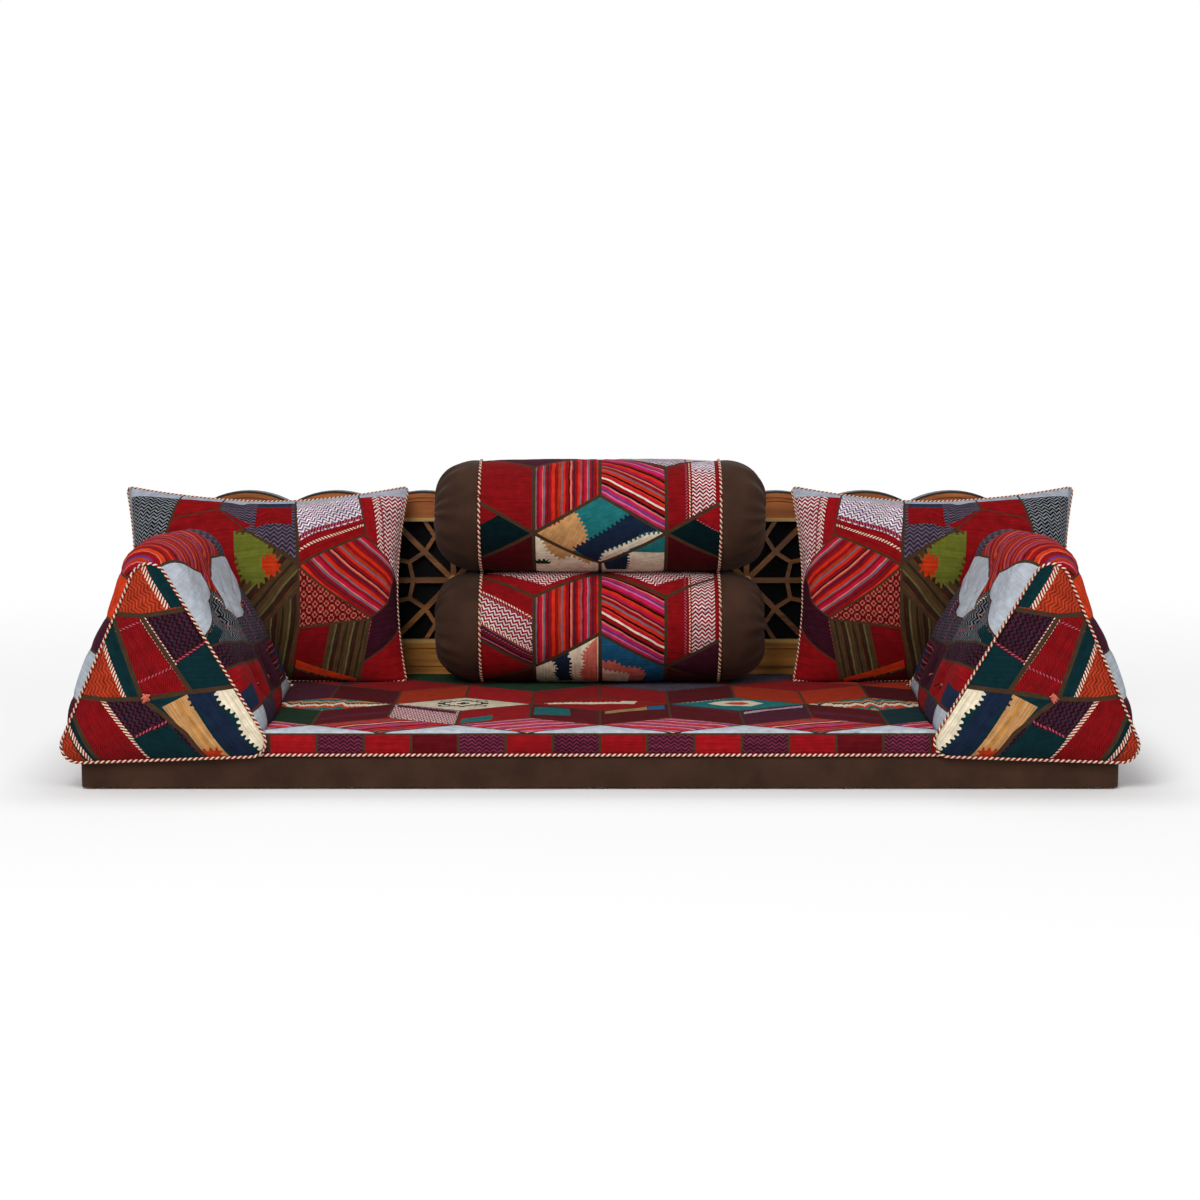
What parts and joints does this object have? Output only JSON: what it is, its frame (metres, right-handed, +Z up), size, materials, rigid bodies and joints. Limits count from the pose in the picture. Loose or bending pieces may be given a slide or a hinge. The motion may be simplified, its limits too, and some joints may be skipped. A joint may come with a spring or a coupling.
{
  "type": "majlis floor sofa",
  "caption": "Low majlis floor sofa with patchwork mattress, triangular arm wedges, leaning pillows, stacked bolsters and a pierced timber back",
  "frame": {"origin": "on the floor, on the underside of the middle glide, at mid length of the platform", "axes": "+X along the length to the right seen from the front, +Y back towards the pierced back, +Z up"},
  "size_m": [2.1, 0.8221, 0.6025],
  "materials": {
    "patchwork": "matte woven patches, mostly dark red",
    "brown_suede": "matte brown suede cloth",
    "twisted_cord": "twisted cream and dark red cord",
    "welt_cord": "thin pale cord",
    "heather_cloth": "pale heather grey weave",
    "plain_cloth": "plain lining cloth",
    "button_cloth": "cloth-covered button",
    "foam": "open-cell foam and fibre fill",
    "grey_felt": "pressed felt",
    "frame_timber": "planed softwood",
    "deck_ply": "plywood",
    "back_timber": "stained and varnished hardwood",
    "lattice_timber": "stained and varnished hardwood",
    "dark_timber": "dark stained hardwood",
    "pale_timber": "pale varnished hardwood",
    "plated_steel": "zinc plated"
  },
  "bodies": {
    "base": {"back_bolts": "plated_steel", "back_bottom_rail": "back_timber", "back_lining": "dark_timber", "back_post_left": "back_timber", "back_post_right": "back_timber", "back_top_rail": "back_timber", "corner_blocks": "frame_timber", "crest_band": "dark_timber", "deck_panels": "deck_ply", "felt_glides": "grey_felt", "lattice_bosses": "pale_timber", "lattice_panel_1": "lattice_timber", "lattice_panel_2": "lattice_timber", "lattice_panel_3": "lattice_timber", "lattice_panel_4": "lattice_timber", "lattice_panel_5": "lattice_timber", "opening_beads": "pale_timber", "platform_back_rail": "frame_timber", "platform_cross_rails": "frame_timber", "platform_front_rail": "frame_timber", "platform_screws": "plated_steel", "platform_side_rail_left": "frame_timber", "platform_side_rail_right": "frame_timber", "platform_skirt": "brown_suede"},
    "mattress": {"mattress_cord": "twisted_cord", "mattress_cover": "patchwork", "mattress_foam": "foam", "mattress_underside": "plain_cloth"},
    "wedge_left": {"wedge_left_buttons": "button_cloth", "wedge_left_cords": "twisted_cord", "wedge_left_core": "foam", "wedge_left_cover": "patchwork", "wedge_left_front_panel": "patchwork", "wedge_left_rear_panel": "patchwork"},
    "wedge_right": {"wedge_right_buttons": "button_cloth", "wedge_right_cords": "twisted_cord", "wedge_right_core": "foam", "wedge_right_cover": "patchwork", "wedge_right_front_panel": "patchwork", "wedge_right_rear_panel": "patchwork"},
    "pillow_left": {"pillow_left_cover_back": "heather_cloth", "pillow_left_cover_front": "patchwork", "pillow_left_insert": "foam", "pillow_left_welt": "welt_cord"},
    "pillow_right": {"pillow_right_cover_back": "heather_cloth", "pillow_right_cover_front": "patchwork", "pillow_right_insert": "foam", "pillow_right_welt": "welt_cord"},
    "bolster_lower": {"bolster_lower_buttons": "brown_suede", "bolster_lower_cap_left": "brown_suede", "bolster_lower_cap_right": "brown_suede", "bolster_lower_cords": "twisted_cord", "bolster_lower_core": "foam", "bolster_lower_sleeve": "patchwork"},
    "bolster_upper": {"bolster_upper_buttons": "brown_suede", "bolster_upper_cap_left": "brown_suede", "bolster_upper_cap_right": "brown_suede", "bolster_upper_cords": "twisted_cord", "bolster_upper_core": "foam", "bolster_upper_sleeve": "patchwork"}
  },
  "joints": [
    {"name": "mattress_lift", "type": "slide", "parent": "base", "child": "mattress", "axis": [0, 0, 1], "range_m": [0, 0.25]},
    {"name": "wedge_left_lift", "type": "slide", "parent": "mattress", "child": "wedge_left", "axis": [0, 0, 1], "range_m": [0, 0.25]},
    {"name": "wedge_right_lift", "type": "slide", "parent": "mattress", "child": "wedge_right", "axis": [0, 0, 1], "range_m": [0, 0.25]},
    {"name": "pillow_left_lift", "type": "slide", "parent": "mattress", "child": "pillow_left", "axis": [0, 0, 1], "range_m": [0, 0.25]},
    {"name": "pillow_right_lift", "type": "slide", "parent": "mattress", "child": "pillow_right", "axis": [0, 0, 1], "range_m": [0, 0.25]},
    {"name": "bolster_lower_lift", "type": "slide", "parent": "mattress", "child": "bolster_lower", "axis": [0, 0, 1], "range_m": [0, 0.25]},
    {"name": "bolster_upper_lift", "type": "slide", "parent": "bolster_lower", "child": "bolster_upper", "axis": [0, 0, 1], "range_m": [0, 0.25]}
  ]
}
